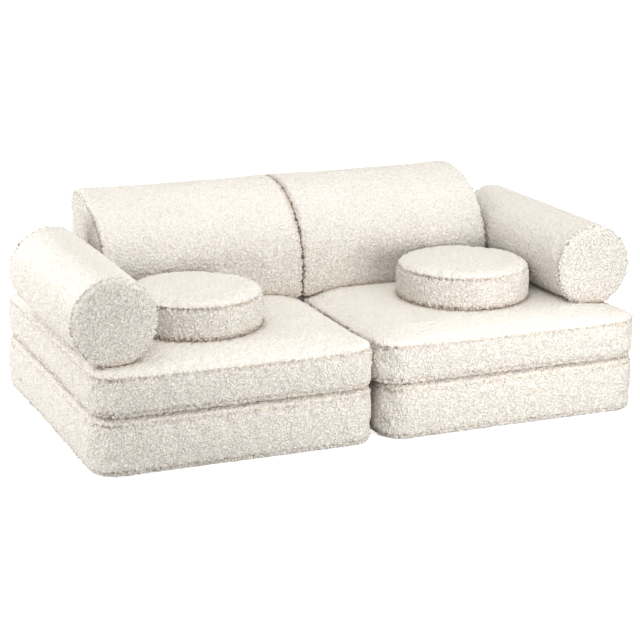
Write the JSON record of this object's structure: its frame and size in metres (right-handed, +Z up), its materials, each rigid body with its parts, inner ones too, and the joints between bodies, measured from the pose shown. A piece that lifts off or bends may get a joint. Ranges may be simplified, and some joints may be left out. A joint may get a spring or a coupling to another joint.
{
  "type": "modular children's sofa",
  "caption": "Low children's sofa of foam modules in plush covers, with bases, seat mattresses, rolled backrests, bolsters and round cushions.",
  "frame": {"origin": "on the floor, under the middle of the sofa's bounding box", "axes": "+X to the sitter's left, along both modules, which is to the right as seen from the front; +Y from the front edge towards the backrests; +Z up"},
  "size_m": [1.4946, 0.835, 0.5226],
  "materials": {
    "plush": "cream-white curly plush",
    "foam": "open-cell polyurethane foam, pale cream",
    "zip_tape": "woven polyester tape with a nylon coil, cream",
    "slider_metal": "nickel-plated zinc, satin"
  },
  "bodies": {
    "left_base": {"left_base_cover": "plush", "left_base_foam": "foam", "left_base_zip": "zip_tape"},
    "left_base_zip_slider": {"left_base_zip_slider": "slider_metal"},
    "left_mattress": {"left_mattress_cover": "plush", "left_mattress_foam": "foam", "left_mattress_zip": "zip_tape"},
    "left_mattress_zip_slider": {"left_mattress_zip_slider": "slider_metal"},
    "left_backrest": {"left_backrest_cover": "plush", "left_backrest_foam": "foam", "left_backrest_zip": "zip_tape"},
    "left_backrest_zip_slider": {"left_backrest_zip_slider": "slider_metal"},
    "left_bolster": {"left_bolster_cover": "plush", "left_bolster_foam": "foam", "left_bolster_zip": "zip_tape"},
    "left_bolster_zip_slider": {"left_bolster_zip_slider": "slider_metal"},
    "left_round_cushion": {"left_round_cushion_cover": "plush", "left_round_cushion_foam": "foam", "left_round_cushion_zip": "zip_tape"},
    "left_round_cushion_zip_slider": {"left_round_cushion_zip_slider": "slider_metal"},
    "right_base": {"right_base_cover": "plush", "right_base_foam": "foam", "right_base_zip": "zip_tape"},
    "right_base_zip_slider": {"right_base_zip_slider": "slider_metal"},
    "right_mattress": {"right_mattress_cover": "plush", "right_mattress_foam": "foam", "right_mattress_zip": "zip_tape"},
    "right_mattress_zip_slider": {"right_mattress_zip_slider": "slider_metal"},
    "right_backrest": {"right_backrest_cover": "plush", "right_backrest_foam": "foam", "right_backrest_zip": "zip_tape"},
    "right_backrest_zip_slider": {"right_backrest_zip_slider": "slider_metal"},
    "right_bolster": {"right_bolster_cover": "plush", "right_bolster_foam": "foam", "right_bolster_zip": "zip_tape"},
    "right_bolster_zip_slider": {"right_bolster_zip_slider": "slider_metal"},
    "right_round_cushion": {"right_round_cushion_cover": "plush", "right_round_cushion_foam": "foam", "right_round_cushion_zip": "zip_tape"},
    "right_round_cushion_zip_slider": {"right_round_cushion_zip_slider": "slider_metal"}
  },
  "joints": [
    {"name": "right_module_pull", "type": "slide", "parent": "left_base", "child": "right_base", "axis": [1, 0, 0], "range_m": [0, 0.3]},
    {"name": "left_mattress_lift", "type": "slide", "parent": "left_base", "child": "left_mattress", "axis": [0, 0, 1], "range_m": [0, 0.3]},
    {"name": "left_backrest_lift", "type": "slide", "parent": "left_mattress", "child": "left_backrest", "axis": [0, 0, 1], "range_m": [0, 0.3]},
    {"name": "left_bolster_lift", "type": "slide", "parent": "left_mattress", "child": "left_bolster", "axis": [0, 0, 1], "range_m": [0, 0.3]},
    {"name": "left_round_cushion_lift", "type": "slide", "parent": "left_mattress", "child": "left_round_cushion", "axis": [0, 0, 1], "range_m": [0, 0.3]},
    {"name": "right_mattress_lift", "type": "slide", "parent": "right_base", "child": "right_mattress", "axis": [0, 0, 1], "range_m": [0, 0.3]},
    {"name": "right_backrest_lift", "type": "slide", "parent": "right_mattress", "child": "right_backrest", "axis": [0, 0, 1], "range_m": [0, 0.3]},
    {"name": "right_bolster_lift", "type": "slide", "parent": "right_mattress", "child": "right_bolster", "axis": [0, 0, 1], "range_m": [0, 0.3]},
    {"name": "right_round_cushion_lift", "type": "slide", "parent": "right_mattress", "child": "right_round_cushion", "axis": [0, 0, 1], "range_m": [0, 0.3]},
    {"name": "left_base_zip_run", "type": "slide", "parent": "left_base", "child": "left_base_zip_slider", "axis": [1, 0, 0], "range_m": [0, 0.551]},
    {"name": "left_mattress_zip_run", "type": "slide", "parent": "left_mattress", "child": "left_mattress_zip_slider", "axis": [1, 0, 0], "range_m": [0, 0.483]},
    {"name": "left_backrest_zip_run", "type": "slide", "parent": "left_backrest", "child": "left_backrest_zip_slider", "axis": [1, 0, 0], "range_m": [0, 0.413]},
    {"name": "left_bolster_zip_run", "type": "slide", "parent": "left_bolster", "child": "left_bolster_zip_slider", "axis": [0, 1, 0], "range_m": [0, 0.443]},
    {"name": "left_round_cushion_zip_run", "type": "hinge", "parent": "left_round_cushion", "child": "left_round_cushion_zip_slider", "pos_m": [-0.37199, -0.1155, 0.3076], "axis": [0, 0, -1], "range_deg": [0, 134]},
    {"name": "right_base_zip_run", "type": "slide", "parent": "right_base", "child": "right_base_zip_slider", "axis": [1, 0, 0], "range_m": [0, 0.551]},
    {"name": "right_mattress_zip_run", "type": "slide", "parent": "right_mattress", "child": "right_mattress_zip_slider", "axis": [1, 0, 0], "range_m": [0, 0.483]},
    {"name": "right_backrest_zip_run", "type": "slide", "parent": "right_backrest", "child": "right_backrest_zip_slider", "axis": [1, 0, 0], "range_m": [0, 0.413]},
    {"name": "right_bolster_zip_run", "type": "slide", "parent": "right_bolster", "child": "right_bolster_zip_slider", "axis": [-0.0209, 0.9998, 0], "range_m": [0, 0.443]},
    {"name": "right_round_cushion_zip_run", "type": "hinge", "parent": "right_round_cushion", "child": "right_round_cushion_zip_slider", "pos_m": [0.36301, -0.1065, 0.3076], "axis": [0, 0, -1], "range_deg": [0, 134]}
  ]
}
